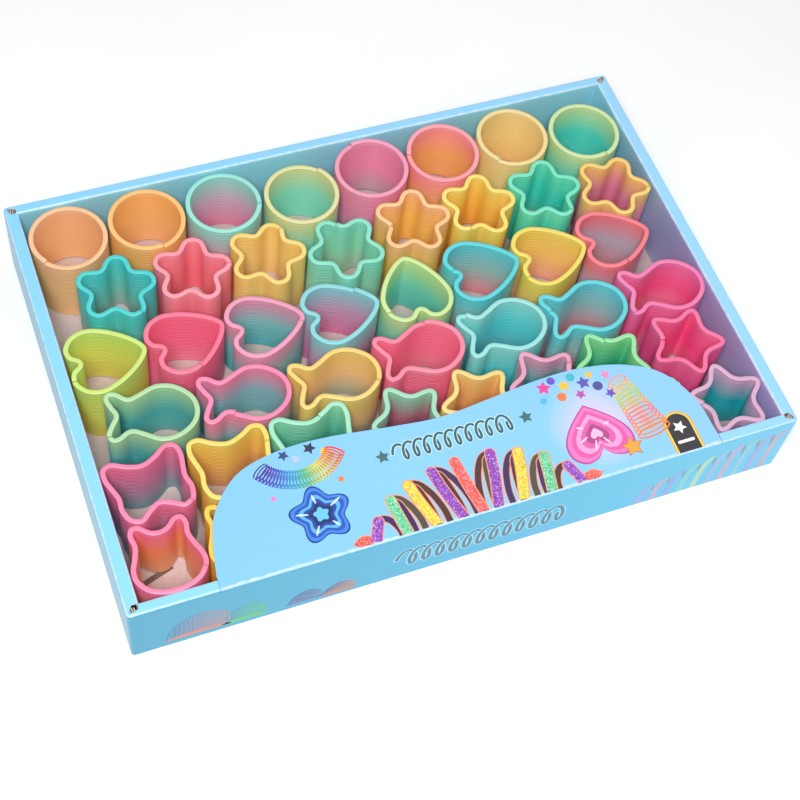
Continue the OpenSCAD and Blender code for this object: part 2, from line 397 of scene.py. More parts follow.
def coated_print(name, ramp, axis="X", reach=0.15, roughness=0.32):
    """Lacquered offset print on white-lined board: colour that runs along one axis, with a soft
    clay-coat gloss, a very fine press grain, and broken white along the creases where the lining
    has cracked. On the walls that run also carries painted shade and painted light."""
    made, tree, shader = material_of(
        name, ramp[0], roughness, Specular_IOR_Level=0.4, Coat_Weight=0.18, Coat_Roughness=0.22
    )
    place = node(tree, "ShaderNodeTexCoord")
    split = node(tree, "ShaderNodeSeparateXYZ", {0: (place, "Object")})
    along = node(
        tree,
        "ShaderNodeMapRange",
        {"Value": (split, axis), "From Min": -reach, "From Max": reach},
    )
    drift = node(
        tree, "ShaderNodeTexNoise", {"Vector": (place, "Object"), "Scale": 14.0, "Detail": 1.0}
    )
    spot = node(
        tree,
        "ShaderNodeMath",
        {0: (drift, "Fac"), 1: 0.16, 2: (along, "Result")},
        operation="MULTIPLY_ADD",
    )
    spot = node(tree, "ShaderNodeMath", {0: (spot, "Value"), 1: 0.08}, operation="SUBTRACT")
    blend = node(tree, "ShaderNodeValToRGB", {"Fac": (spot, "Value")})
    while len(blend.color_ramp.elements) < len(ramp):
        blend.color_ramp.elements.new(0.5)
    for i, colour in enumerate(ramp):
        blend.color_ramp.elements[i].position = i / (len(ramp) - 1)
        blend.color_ramp.elements[i].color = linear(colour)
    press = node(
        tree, "ShaderNodeTexNoise", {"Vector": (place, "Object"), "Scale": 1400.0, "Detail": 2.0}
    )
    pressed = node(
        tree,
        "ShaderNodeMapRange",
        {"Value": (press, "Fac"), "To Min": 0.965, "To Max": 1.035},
    )
    inked = node(
        tree,
        "ShaderNodeVectorMath",
        {0: (blend, "Color"), "Scale": (pressed, "Result")},
        operation="SCALE",
    )
    worn = node(tree, "ShaderNodeAttribute", attribute_name="wear")
    cracks = node(
        tree,
        "ShaderNodeTexNoise",
        {"Vector": (place, "Object"), "Scale": 260.0, "Detail": 6.0, "Roughness": 0.7},
    )
    broken = node(
        tree,
        "ShaderNodeMath",
        {0: (worn, "Fac"), 1: 0.5, 2: (cracks, "Fac")},
        operation="MULTIPLY_ADD",
    )
    white = node(
        tree,
        "ShaderNodeMapRange",
        {"Value": (broken, "Value"), "From Min": 0.72, "From Max": 1.08, "To Max": 0.6},
    )
    final = node(
        tree,
        "ShaderNodeMix",
        {0: (white, "Result"), 6: (inked, "Vector"), 7: linear(WORN_LINING)},
        data_type="RGBA",
    )
    tree.links.new(final.outputs[2], shader.inputs["Base Color"])
    bump = node(
        tree, "ShaderNodeBump", {"Height": (press, "Fac"), "Strength": 0.12, "Distance": 0.00005}
    )
    tree.links.new(bump.outputs["Normal"], shader.inputs["Normal"])
    return made


bare_board = grey_board("cut_duplex_board", "#D8CDC4", "#B9A89C", "#8E7F76")
wall_finishes = [
    # painted shade: the outer print runs dark at the left end, so the left wall is painted darker
    coated_print("lacquered_cyan_print", ["#1E9ABE", "#38AED4", "#58C8EE"]),
    coated_print("lacquered_sky_print", ["#8FD6FF", "#93D4FC", "#9AD8FF"]),
    # the violet to aqua run over the inner faces is print; its pale aqua at the back end is lifted as
    # painted light, since the back wall's inner face lies in shade
    coated_print(
        "lacquered_aqua_print", ["#C0B6EA", "#BEB4E6", "#B4B0E4", "#9CCCEC", "#9EE2F4"], "Y", 0.11
    ),
    bare_board,
]
X, Y = Vector((1, 0, 0)), Vector((0, 1, 0))
for name, along, outward, half_span, half_reach, fold, other in (
    ("back_wall", X, Y, HALF_LENGTH, HALF_WIDTH, SIDE_FOLD, END_FOLD),
    ("left_wall", Y, -X, HALF_WIDTH, HALF_LENGTH, END_FOLD, SIDE_FOLD),
    ("right_wall", Y, X, HALF_WIDTH, HALF_LENGTH, END_FOLD, SIDE_FOLD),
):
    wall = fold_wall(name + "_folded", along, outward, half_span, half_reach, fold, other)
    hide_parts(name)
    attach(wall, "tray")


# Front wall -----------------------------------------------------------------------------
# The same folded board. Its rim lies one board lower along the middle, where the header card,
# creased along the outer edge, folds over it.

CARD_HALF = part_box("header_card")[1].x
JOINT_GAP = 0.3 * MM
front_wall = fold_wall(
    "front_wall_folded", X, -Y, HALF_LENGTH, HALF_WIDTH, SIDE_FOLD, END_FOLD, CARD_HALF + JOINT_GAP
)
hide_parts("front_wall")
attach(front_wall, "tray")


# Corner tabs ----------------------------------------------------------------------------
# The end tabs of the long walls, tucked between the skins of the short walls. Through the
# open lozenge at each corner they show as three cut edges of bare board.

TAB_GAP = 0.72 * MM
TAB_LONG = 4.4 * MM
TAB_SHORTER = 1.4 * MM  # the outer two, which the lozenge leaves less room
TAB_HALF_THICK = 0.25 * MM
TAB_LEAN = 62  # degrees from the seam
TAB_BEVEL = 0.1 * MM
CORNERS = [(sx, sy) for sx in (-1, 1) for sy in (-1, 1)]


def corner_name(sx, sy):
    """Which corner of the tray lies at these signs of X and Y."""
    return ("front" if sy < 0 else "back") + ("_left" if sx < 0 else "_right")


for sx, sy in CORNERS:
    points, faces = [], []
    middle = Vector((sx * (HALF_LENGTH - END_FOLD / 2), sy * (HALF_WIDTH - SIDE_FOLD / 2), 0))
    lie = math.atan2(sy * SIDE_FOLD, sx * END_FOLD) + math.radians(TAB_LEAN * sx * sy)
    turn = Matrix.Rotation(lie, 3, "Z")
    for k in (-1, 0, 1):
        start = len(points)
        half = (TAB_LONG - abs(k) * TAB_SHORTER) / 2
        thick = TAB_HALF_THICK
        top = RIM_TOP - (1.0 + 0.3 * abs(k)) * MM
        ring = [(-half, -thick), (half, -thick), (half, thick), (-half, thick)]
        for z in (FLOOR_TOP, top - TAB_BEVEL, top):
            shrink = 0.85 if z == top else 1
            for x, y in ring:
                across = y * shrink + k * (TAB_GAP + thick)
                points.append(middle + turn @ Vector((x, across, z)))
        for level in (0, 4):
            for j in range(4):
                a, b = start + level + j, start + level + (j + 1) % 4
                faces.append((a, b, b + 4, a + 4))
        faces += [tuple(start + i for i in (3, 2, 1, 0)), tuple(start + 8 + i for i in range(4))]
    tabs = mesh_object("corner_tabs_" + corner_name(sx, sy), points, faces, [bare_board])
    tidy_mesh(tabs)
    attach(tabs, "tray")


# Lock tabs ------------------------------------------------------------------------------
# The tongues that hook into the floor's slanted slots from below and lock the corners. They
# fill each slot a little under the floor's face, in board coloured dark brown as painted shade
# for the shadow in the slot.

# painted shade: the lock board's greys are dark to stand for the shadow in the slots
lock_board = grey_board("scuffed_lock_board", "#8A6F62", "#6E564C", "#4E3C34")
SLOT_AT = Vector((130 * MM, 73 * MM, 0))
SLOT_TURN = 18  # degrees
LOCK_RINGS = ((0.15, 6.9, 1.2), (0.55, 6.9, 1.2), (0.7, 6.6, 0.9))  # mm: height, half sizes
for sx, sy in CORNERS:
    turn = Matrix.Rotation(math.radians(sx * sy * SLOT_TURN), 3, "Z")
    at = Vector((sx * SLOT_AT.x, sy * SLOT_AT.y, 0))
    points = []
    for z, half_long, half_wide in LOCK_RINGS:
        for x, y in ((-1, -1), (1, -1), (1, 1), (-1, 1)):
            points.append(at + turn @ Vector((x * half_long, y * half_wide, z)) * MM)
    faces = [(3, 2, 1, 0), (8, 9, 10, 11)]
    for level in (0, 4):
        for j in range(4):
            a, b = level + j, level + (j + 1) % 4
            faces.append((a, b, b + 4, a + 4))
    tab = mesh_object("lock_tab_" + corner_name(sx, sy), points, faces, [lock_board])
    tidy_mesh(tab)
    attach(tab, "tray")


# Header card ----------------------------------------------------------------------------
# A die-cut card of the same board with a free edge in two low waves. It is creased along the
# tray's front edge, where the lining has cracked white, and folds up to stand as a display.

CARD_REACH = 54 * MM
CARD_TOP = RIM_TOP - 0.12 * MM
CARD_UNDER = RIM_TOP - BOARD
CREASE_ROUND = 0.68 * MM
CRACKS_END = 2.4 * MM  # how far the crease's wear reaches over the card
CARD_EDGE = [
    (-1, 0.12), (-0.975, 0.37), (-0.93, 0.63), (-0.81, 0.885), (-0.64, 0.985), (-0.45, 0.99),
    (-0.2, 0.93), (0, 0.895), (0.2, 0.935), (0.43, 0.985), (0.61, 0.985), (0.78, 0.91),
    (0.91, 0.745), (0.985, 0.45), (1, 0.12),
]  # fmt: skip


def curve_point(a, b, c, d, t):
    """One point of a Catmull-Rom curve between b and c."""
    a, b, c, d = (np.array(p, float) for p in (a, b, c, d))
    return 0.5 * (
        2 * b + (c - a) * t + (2 * a - 5 * b + 4 * c - d) * t**2 + (3 * b - a - 3 * c + d) * t**3
    )


def smooth_line(points, steps):
    """An open smooth curve through the points."""
    p = [np.array(q, float) for q in points]
    p = [2 * p[0] - p[1], *p, 2 * p[-1] - p[-2]]
    made = [
        curve_point(*p[i : i + 4], j / steps) for i in range(len(p) - 3) for j in range(steps)
    ]
    return np.array([*made, p[-2]])


free_edge = smooth_line(CARD_EDGE, 8) * (CARD_HALF, CARD_REACH) + (0, -HALF_WIDTH)
points, faces, which, wear = [], [], [], []
front = -HALF_WIDTH
for x, reach in free_edge:
    section = []
    for a in range(0, 91, 15):
        c, s = math.cos(math.radians(a)), math.sin(math.radians(a))
        y = front + CREASE_ROUND * (1 - c)
        section.append((y, CARD_TOP - CREASE_ROUND * (1 - s), 0.6 + 0.4 * s))
    for y, worn in ((0.9, 0.95), (1.2, 0.7), (1.7, 0.3), (2.4, 0)):
        section.append((front + y * MM, CARD_TOP, worn))
    start = front + CRACKS_END
    for share in (0.25, 0.5, 0.75):
        section.append((start + (reach - start) * share, CARD_TOP, 0))
    section.append((reach - 0.5 * MM, CARD_TOP, 0))
    section.append((reach - 0.12 * MM, CARD_TOP, 0.5))
    section.append((reach, CARD_TOP - 0.14 * MM, 0.8))
    section.append((reach, CARD_UNDER + 0.1 * MM, 0))
    section.append((reach - 0.1 * MM, CARD_UNDER, 0))
    section.append((start, CARD_UNDER, 0))
    section.append((front + 0.1 * MM, CARD_UNDER, 0))
    points += [(x, y, z) for y, z, _ in section]
    wear += [worn for _, _, worn in section]
rows = len(section)
edge_row = rows - 5
for k in range(len(free_edge) - 1):
    for i in range(rows):
        a, b = k * rows + i, k * rows + (i + 1) % rows
        faces.append((a, a + rows, b + rows, b))
        which.append(1 if edge_row <= i < rows - 1 else 0)
faces += [tuple(range(rows)), tuple(range(len(points) - rows, len(points)))]
which += [1, 1]
header_print = coated_print(
    "lacquered_header_print", ["#84C5F4", "#89CAF8", "#8BCCF9", "#95CFFA"], roughness=0.28
)
card = mesh_object("header_card_folded", points, faces, [header_print, bare_board], which)
card.data.attributes.new("wear", "FLOAT", "POINT").data.foreach_set("value", wear)
tidy_mesh(card)
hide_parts("header_card")
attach(card, "header")


# Header print ---------------------------------------------------------------------------
# Offset inks and glitter varnish laid on the card in thin films, one over another: a coil
# arch in the middle, a flower and a heart at the sides, stars, dots and a plain badge.

INK_FILM = 0.035 * MM
INK_ROOT = -2 * INK_FILM  # the films start inside the board, so no edge floats


def offset_ink():
    """One lacquered ink film whose colour is in the mesh; the glitter share adds small flakes about
    0.4 mm across, as coarse as they need to be to show, with their glints painted in: each flake's
    colour is made lighter or darker, and a few are painted near white."""
    made, tree, shader = material_of(
        "lacquered_offset_ink",
        "#FFFFFF",
        0.3,
        Specular_IOR_Level=0.45,
        Coat_Weight=0.3,
        Coat_Roughness=0.15,
    )
    place = node(tree, "ShaderNodeTexCoord")
    ink = node(tree, "ShaderNodeAttribute", attribute_name="ink")
    amount = node(tree, "ShaderNodeAttribute", attribute_name="glitter")
    flakes = node(
        tree, "ShaderNodeTexVoronoi", {"Vector": (place, "Object"), "Scale": 2300.0}
    )
    shade = node(tree, "ShaderNodeSeparateColor", {0: (flakes, "Color")})
    # painted glint: each glitter flake's colour is scaled lighter or darker
    spread = node(
        tree,
        "ShaderNodeMapRange",
        {"Value": (shade, 0), "To Min": -0.5, "To Max": 0.75},
    )
    strength = node(
        tree,
        "ShaderNodeMath",
        {0: (spread, "Result"), 1: (amount, "Fac")},
        operation="MULTIPLY",
    )
    gain = node(tree, "ShaderNodeMath", {0: (strength, "Value"), 1: 1.0}, operation="ADD")
    scaled = node(
        tree,
        "ShaderNodeVectorMath",
        {0: (ink, "Color"), "Scale": (gain, "Value")},
        operation="SCALE",
    )
    # painted glint: a few glitter flakes are painted near white
    bright = node(
        tree,
        "ShaderNodeMapRange",
        {"Value": (shade, 1), "From Min": 0.86, "From Max": 0.92, "To Max": 0.55},
    )
    painted_glint = node(
        tree,
        "ShaderNodeMath",
        {0: (bright, "Result"), 1: (amount, "Fac")},
        operation="MULTIPLY",
    )
    final = node(
        tree,
        "ShaderNodeMix",
        {0: (painted_glint, "Value"), 6: (scaled, "Vector"), 7: linear("#FFF4EE")},
        data_type="RGBA",
    )
    tree.links.new(final.outputs[2], shader.inputs["Base Color"])
    return made


ink_finish = offset_ink()


class InkSheet:
    """Gathers printed shapes on a flat face as thin raised films, then makes them one piece."""

    def __init__(self, face_point, across, up, outward, low):
        """low is where the face ends below, and ink that would pass it is trimmed there."""
        self.at, self.across, self.up, self.out = face_point, across, up, outward
        self.low = low
        self.points, self.faces, self.colours, self.glitter = [], [], [], []

    def place(self, x, y, height):
        """A point in millimetres on the face, raised by a height in metres."""
        up = max(y, self.low) * MM
        return self.at + self.across * x * MM + self.up * up + self.out * height

    def shape(self, outline, colour, layer=1, glitter=0.0):
        """A filled outline in millimetres."""
        start, n = len(self.points), len(outline)
        for height in (INK_ROOT, layer * INK_FILM):
            self.points += [self.place(x, y, height) for x, y in outline]
        self.faces.append(tuple(range(start + n, start + 2 * n)))
        self.faces.append(tuple(range(start + n - 1, start - 1, -1)))
        for i in range(n):
            j = (i + 1) % n
            self.faces.append((start + i, start + j, start + n + j, start + n + i))
        self.colours += [linear(colour) if isinstance(colour, str) else colour] * 2 * n
        self.glitter += [glitter] * 2 * n

    def stroke(self, line, width, colour, layer=1, glitter=0.0, caps=(True, True)):
        """A ribbon along a line with round ends; width and layer are one value or one a point."""
        p = np.array(line, float)
        width = np.broadcast_to(np.array(width, float), len(p))
        layer = np.broadcast_to(np.array(layer, float), len(p))
        ahead = np.gradient(p, axis=0)
        ahead /= np.linalg.norm(ahead, axis=1)[:, None]
        rounds = np.radians((85, 62, 40, 20))
        if caps[1]:
            r = width[-1] / 2
            p = np.vstack([p, [p[-1] + ahead[-1] * r * math.sin(a) for a in rounds[::-1]]])
            ahead = np.vstack([ahead, [ahead[-1]] * 4])
            width = np.append(width, [2 * r * math.cos(a) for a in rounds[::-1]])
            layer = np.append(layer, [layer[-1]] * 4)
        if caps[0]:
            r = width[0] / 2
            p = np.vstack([[p[0] - ahead[0] * r * math.sin(a) for a in rounds], p])
            ahead = np.vstack([[ahead[0]] * 4, ahead])
            width = np.append([2 * r * math.cos(a) for a in rounds], width)
            layer = np.append([layer[0]] * 4, layer)
        aside = np.stack([-ahead[:, 1], ahead[:, 0]], 1) * width[:, None] / 2
        start = len(self.points)
        for left, right, film in zip(p + aside, p - aside, layer):
            for x, y in (left, right):
                self.points.append(self.place(x, y, INK_ROOT))
                self.points.append(self.place(x, y, film * INK_FILM))
        for i in range(len(p) - 1):
            a = start + 4 * i
            self.faces += [(a + 1, a + 3, a + 7, a + 5), (a, a + 4, a + 6, a + 2)]
            self.faces += [(a, a + 1, a + 5, a + 4), (a + 3, a + 2, a + 6, a + 7)]
        a, b = start, start + 4 * (len(p) - 1)
        self.faces += [(a, a + 2, a + 3, a + 1), (b, b + 1, b + 3, b + 2)]
        self.colours += [linear(colour) if isinstance(colour, str) else colour] * 4 * len(p)
        self.glitter += [glitter] * 4 * len(p)

    def finish(self, name, body):
        """Makes the piece, with its colours and glitter in the mesh."""
        made = mesh_object(name, self.points, self.faces, [ink_finish], smooth=False)
        ink = made.data.attributes.new("ink", "FLOAT_COLOR", "POINT")
        ink.data.foreach_set("color", np.array(self.colours, np.float32).ravel())
        made.data.attributes.new("glitter", "FLOAT", "POINT").data.foreach_set(
            "value", np.array(self.glitter, np.float32)
        )
        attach(made, body)


def lobes(at, mean, deep, count=5, turn=0.0, pointed=0.0, steps=60):
    """A closed outline with round lobes, as a flower, or pointed ones, as a soft star."""
    made = []
    for i in range(steps):
        a = 2 * math.pi * i / steps
        r = mean + deep * math.cos(count * a) + pointed * math.cos(2 * count * a)
        made.append((at[0] + r * math.cos(a + turn), at[1] + r * math.sin(a + turn)))
    return made


def star(at, size, turn=0.0, inner=0.5):
    """A five-pointed star."""
    return [
        (
            at[0] + size * (inner if i % 2 else 1) * math.cos(turn + math.pi * i / 5),
            at[1] + size * (inner if i % 2 else 1) * math.sin(turn + math.pi * i / 5),
        )
        for i in range(10)
    ]


def mixed(a, b, share):
    """A colour on the way from a to b, as linear RGBA."""
    return tuple(p + (q - p) * share for p, q in zip(linear(a), linear(b)))


def along_ramp(colours, share):
    """A colour from a row of hex colours."""
    spot = min(max(share, 0), 0.9999) * (len(colours) - 1)
    return mixed(colours[int(spot)], colours[int(spot) + 1], spot - int(spot))


CREASE = -HALF_WIDTH / MM + 0.7
header = InkSheet(Vector((0, 0, CARD_TOP)), X, Y, Vector((0, 0, 1)), CREASE)

# pale glow round the arch and the right-hand motif
for i in range(6):
    glow = mixed("#8FCFFA", "#CFD2FA", i / 5)
    header.shape(lobes((64, -78.5), 23.5 - 2.6 * i, 0.8, 4), glow, 0.15 + 0.12 * i)

# the coil arch: tall glittering turns lean away from its middle, and behind each one two dark
# turns fall from its crown to the crease
ARCH_TURNS = [
    (-54.5, -49.5, 4, "#F0564E"), (-46.5, -42.5, 11, "#8E44B4"), (-32.5, -34.5, 18.5, "#62C492"),
    (-19.5, -25, 23, "#F4C83A"), (-8, -13.5, 26, "#8A3FB2"), (1, -2.5, 27.5, "#F05A58"),
    (7.5, 13.5, 27, "#8A3FB2"), (19, 25, 24, "#F4C83A"), (32, 35, 19, "#62C492"),
    (46.5, 43, 11.5, "#8E44B4"), (55, 50, 4, "#F0564E"),
]  # fmt: skip
BACK_TURNS = ["#4A2730", "#38235A", "#4A4A3C", "#4B2A2C", "#38235A", "#5A2A26"]
OUTLINE = "#F79A6E"


def back_turn(crown, high, step, out):
    """A dark turn that bends away behind its crown and falls to the crease."""
    top = CREASE + high
    return smooth_line(
        [
            (crown + step * 0.4, top - 1.4), (crown + step * (1 + 0.32 * out), top - 0.1 * high - 0.8),
            (crown + step * 0.74 * out, top - 0.38 * high),
            (crown + step * 0.95 * out, top - 0.72 * high), (crown + step * out, CREASE),
        ],
        6,
    )  # fmt: skip


for i, (_, crown, high, _) in enumerate(ARCH_TURNS):
    towards_middle = 1 if i < 5 else -1
    for k, share in enumerate((1, 0.55)):
        if high > 10 + 5 * k and i != 5:
            out = (4.6 + 0.27 * high) * share
            line = back_turn(crown, high - 1.8 * k, towards_middle, out)
            film = 1 + 0.05 * i + 0.35 * k
            header.stroke(line, 3.5, OUTLINE, film, caps=(True, False))
            header.stroke(line, 2.7, BACK_TURNS[(i + 2 * k) % 6], film + 0.15, caps=(True, False))
for i, (foot, crown, high, colour) in enumerate(ARCH_TURNS):
    top = CREASE + high
    line = [(foot, CREASE), (foot + (crown - foot) * 0.62, CREASE + high * 0.5), (crown, top - 2.2)]
    film = 2.6 + 0.02 * i
    header.stroke(smooth_line(line, 7), 5.2, OUTLINE, film, caps=(False, True))
    header.stroke(smooth_line(line, 7), 4.3, colour, film + 0.3, 0.85, caps=(False, True))


def drawn_spring(x0, x1, y, loops, wide, high):
    """The points of a spring line with this many loops."""
    made = []
    for i in range(loops * 16 + 1):
        a = 2 * math.pi * i / 16
        x = x0 + (x1 - x0) * i / (loops * 16)
        made.append((x + wide * (1 - math.cos(a)), y + high * math.sin(a)))
    return made


# where a name would stand: an open spring drawn from the side, between two stars
spring_line = drawn_spring(-26, 26, -67, 11, 1.9, 3.9)
rising = 1 + 0.03 * np.arange(len(spring_line))
header.stroke(spring_line, 1.9, "#CBEBF8", rising)
header.stroke(spring_line, 1.15, "#2F6068", rising + 0.25)
for x in (-30.5, 35):
    header.shape(star((x, -67), 3.2, math.radians(90)), "#3E6C70", 1.5)

# left motif: a blue flower seen down its bore, with a bow of rainbow turns above it
for i, (size, colour) in enumerate(
    ((13.4, "#1C3C8E"), (12.6, "#3C86E4"), (11, "#2A55BE"), (9.2, "#5FB4F4"), (7.4, "#2748A6"),
     (5.6, "#17306E"), (3.4, "#6EC6F8"))
):  # fmt: skip
    header.shape(lobes((-63.5, -84.5), size * 0.86, size * 0.15, 5, 0.35), colour, 1 + 0.25 * i)
for angle, long in ((0.5, 6.5), (1.7, 5), (2.9, 6), (4.2, 5.5), (5.4, 4.5)):
    c, s = math.cos(angle), math.sin(angle)
    streak = [(-63.5 + c * r, -84.5 + s * r) for r in (5.6, 5.6 + long * 0.5, 4.4 + long)]
    header.stroke(streak, [0.5, 1.1, 0.4], "#CDEBFF", 3)
RAINBOW = ["#5A2F9E", "#4B55C8", "#3FA0D8", "#57BE6A", "#E8DC3C", "#F49A32", "#E8402E"]
BOW_RADIUS = 20
for part in ("back", "front"):
    for i in range(30):
        share = i / 29
        a = math.radians(216 + 108 * share)
        out = np.array((math.cos(a), math.sin(a)))
        side = np.array((-out[1], out[0]))
        centre = np.array((-65, -46.5)) + BOW_RADIUS * out
        angles = np.linspace(0.3, math.pi - 0.3, 9) + (math.pi if part == "back" else 0)
        turn = [centre + out * 4.2 * math.cos(b) + side * 1.5 * math.sin(b) for b in angles]
        colour = along_ramp(RAINBOW, share)
        if part == "back":
            header.stroke(turn, 0.5, tuple(c * 0.35 for c in colour[:3]) + (1,), 1.4 + 0.01 * i)
        else:
            header.stroke(turn, 0.78, colour, 2 + 0.01 * i)

# right motif: a pink heart of rings, a cone of warm turns and confetti
HEART = [
    (0, -12.4), (4.6, -8.6), (9.6, -3.4), (12.6, 2.2), (12.2, 7.6), (8.2, 11), (3.2, 10), (0, 6.6),
]  # fmt: skip
heart_line = smooth_line(HEART, 4)
heart = [*heart_line, *[(-x, y) for x, y in heart_line[-2:0:-1]]]
for i, (size, colour) in enumerate(
    ((1.12, "#C24C9E"), (1.05, "#F57CC4"), (0.9, "#E95AAE"), (0.74, "#FBA4D6"), (0.56, "#E360AE"),
     (0.38, "#B8408E"), (0.2, "#FBC0E2"))
):  # fmt: skip
    ring = [(61 + x * size * 1.08, -83.5 - y * size * 1.05) for x, y in heart]
    header.shape(ring[::-1], colour, 1 + 0.25 * i)
for angle, long in ((3.6, 5), (4.4, 6), (5.2, 5), (0.3, 4), (2.7, 4)):
    c, s = math.cos(angle), math.sin(angle)
    streak = [(61 + c * r, -82 + s * r) for r in (5, 5 + long * 0.5, 4 + long)]
    header.stroke(streak, [0.4, 0.9, 0.3], "#FFE2F2", 3)
WARM = ["#F0803C", "#F79A58", "#F2708E", "#F6A84A", "#A8CC62", "#E8D04A", "#F59A8C"]
for i in range(15):
    share = i / 14
    at = (80.5 + 5.5 * share, -62.5 - 27 * share)
    size = 4.6 + 3.4 * share
    turn = [(at[0] + size * math.cos(a), at[1] + 2.4 * math.sin(a) + 1.2 * math.cos(a))
            for a in (2 * math.pi * j / 16 for j in range(17))]  # fmt: skip
    header.stroke(turn, 0.75, along_ramp(WARM[::-1], share), 1 + 0.05 * i, caps=(False, False))
header.shape(star((73.6, -94.2), 5.2, 0.3, 0.52), "#C97A22", 3.3)
header.shape(star((73.6, -94.2), 4.4, 0.3, 0.52), "#FBA83C", 3.7)
CONFETTI = [
    (48, -56, 3.6, "#E8409E"), (52.5, -53.5, 2.6, "#6C4CC8"), (57, -57.5, 3.2, "#F4C63A"),
    (61.5, -54.2, 2.8, "#3FB8C8"), (66, -58.5, 3.4, "#5B56B4"), (71.5, -61.8, 3.2, "#4B4F98"),
    (77, -57.5, 2.6, "#F08AC0"), (54, -62.4, 3, "#F08040"), (62.5, -63.6, 2.6, "#C24CA8"),
    (69.8, -55.4, 2.2, "#F4C63A"), (75.5, -66.8, 2.6, "#6C4CC8"), (45.5, -62, 2.2, "#58B8E8"),
    (-70, -54, 2.6, "#3A4A86"), (-65.5, -57, 2.2, "#B8C8F0"), (-58.5, -53.8, 3, "#2E3350"),
    (-53, -57, 2.2, "#F4C63A"), (-50.5, -71.5, 1.8, "#F08040"), (-80, -72, 1.6, "#F08AC0"),
]  # fmt: skip
for i, (x, y, size, colour) in enumerate(CONFETTI):
    if i % 2:
        header.shape(lobes((x, y), size * 0.72, 0, steps=16), colour, 2)
    else:
        header.shape(star((x, y), size, 0.7 * i), colour, 2)

# the plain badge near the right end
badge = [(-5.4, -9.4), (5.4, -9.4)] + [
    (5.4 * math.cos(a), 4.4 + 5.4 * math.sin(a)) for a in (math.pi * i / 10 for i in range(11))
]
for i, (scale, colour) in enumerate(((1.24, "#F2A93C"), (1.12, "#F7E05A"), (1.0, "#2B2A30"))):
    ring = [(97.3 + x * scale, -94.6 + y * (scale * 0.5 + 0.5)) for x, y in badge]
    header.shape(ring, colour, 1 + 0.3 * i)
header.shape(star((97.3, -91.6), 3.3, math.radians(-90), 0.48), "#FFFFFF", 2)
header.stroke([(94, -98.6), (100.6, -98.6)], 1.4, "#FFFFFF", 2)
header.finish("header_print", "header")


# Front wall print -----------------------------------------------------------------------
# The same inks on the front wall: small closed and opened coils at the left, a drawn-out
# spring line where a name would stand, and a pastel coil arch round the right end.

wall_ink = InkSheet(Vector((0, -HALF_WIDTH, 0)), X, Vector((0, 0, 1)), -Y, 0.4)


def small_coil(sheet, at, long, high, back, front, lean, turns=13):
    """An opened toy coil lying in a low bow, its wires drawn as thin loops over a solid foot."""
    for i in range(turns):
        share = i / (turns - 1)
        x = at[0] + long * share
        tall = high * (0.35 + 0.65 * math.sin(math.pi * (0.15 + 0.7 * share)))
        loop = [(x + lean * 3.4 * math.sin(a) - 1.6 * math.cos(a), at[1] + tall * math.sin(a))
                for a in (math.pi * j / 10 for j in range(11))]  # fmt: skip
        sheet.stroke(loop, 0.5, mixed(back, front, share), 1 + 0.02 * i, caps=(False, False))
    base = [(at[0] - 2 + (long + 5) * i / 12, at[1] + 0.4 + 2.6 * math.sin(math.pi * i / 12) ** 0.7)
            for i in range(13)]  # fmt: skip
    sheet.shape([*base, (at[0] + long + 3, at[1] - 0.4), (at[0] - 2, at[1] - 0.4)], front, 1.4)


small_coil(wall_ink, (-134, 4.5), 23, 19, "#1F5F9C", "#C8705C", 0.6)
small_coil(wall_ink, (-110, 4), 15, 14, "#1F86A8", "#38B86C", 0.5)
small_coil(wall_ink, (-82, 4), 11, 10, "#24508C", "#4C6C9C", 0.5)
small_coil(wall_ink, (-67, 3), 11, 9.5, "#2C4C8C", "#B07458", 0.5)
spring_line = drawn_spring(-36, 38, 17, 12, 2.8, 7)
rising = 1 + 0.03 * np.arange(len(spring_line))
wall_ink.stroke(spring_line, 3.0, "#86D6F2", rising)
wall_ink.stroke(spring_line, 1.7, "#1E6074", rising + 0.25)
PASTELS = ["#8AA4DC", "#B4A6C4", "#7FA0DC", "#6CCAC8", "#A8D4B4", "#8CB4DC", "#B8A2C8", "#7CC4D8"]
for i in range(10):
    share = i / 9
    foot = (80 + 62 * share, 0.6)
    top = (foot[0] + 3.4, 11 + 20 * math.sin(math.pi * (0.06 + 0.44 * share)))
    behind = [(top[0] + 1.5, top[1] - 1), (top[0] + 3.4, top[1] * 0.6), (top[0] + 3.2, 0.6)]
    if behind[1][0] < 146:
        wall_ink.stroke(smooth_line(behind, 5), 1.9, "#4A9AAE", 1.0 + 0.01 * i, caps=(True, False))
    rise = [foot, (foot[0] + 0.2, top[1] * 0.45), (foot[0] + 1.2, top[1] * 0.85), top]
    wall_ink.stroke(smooth_line(rise, 5), 3.1, PASTELS[i % 8], 1.5 + 0.02 * i, caps=(False, True))
wall_ink.finish("front_wall_print", "tray")


# Spring coils ---------------------------------------------------------------------------
# Each toy is one strip of polypropylene wound into a closed stack of turns. The strip is
# extruded hot and its dye drifts as it is wound, so the colour changes from rim to foot, and
# its cut end stands as a small step on the top turn. Part of that change is painted light: the
# top turn is painted palest and the lower turns lighter, for light that comes through the plastic.

STRIP_WIDE = 2.15 * MM
STRIP_ROUND = 0.14 * MM
STRIP_BEVEL = 0.12 * MM
TURNS = 29
TURN_FILL = 0.995  # the share of the pitch that a turn fills, which leaves a hairline
SHAPE_CLEAR = 0.08 * MM  # each coil stays this far inside its place, clear of its neighbours
SETTLE = 0.012 * MM  # each turn settles this far to one side of the one below
RIM_SHARE = 0.8  # of the dye just under the top turn; the rest is the middle's
DEEPENING = 0.3  # more saturation there than in the rim, whose paleness is painted light
BODY_OF = {
    n.replace("_lower", "").replace("_upper", ""): body
    for body, members in frame["record"]["behaviour"]["bodies"].items()
    for n in members
    if not n.endswith("_upper")
}


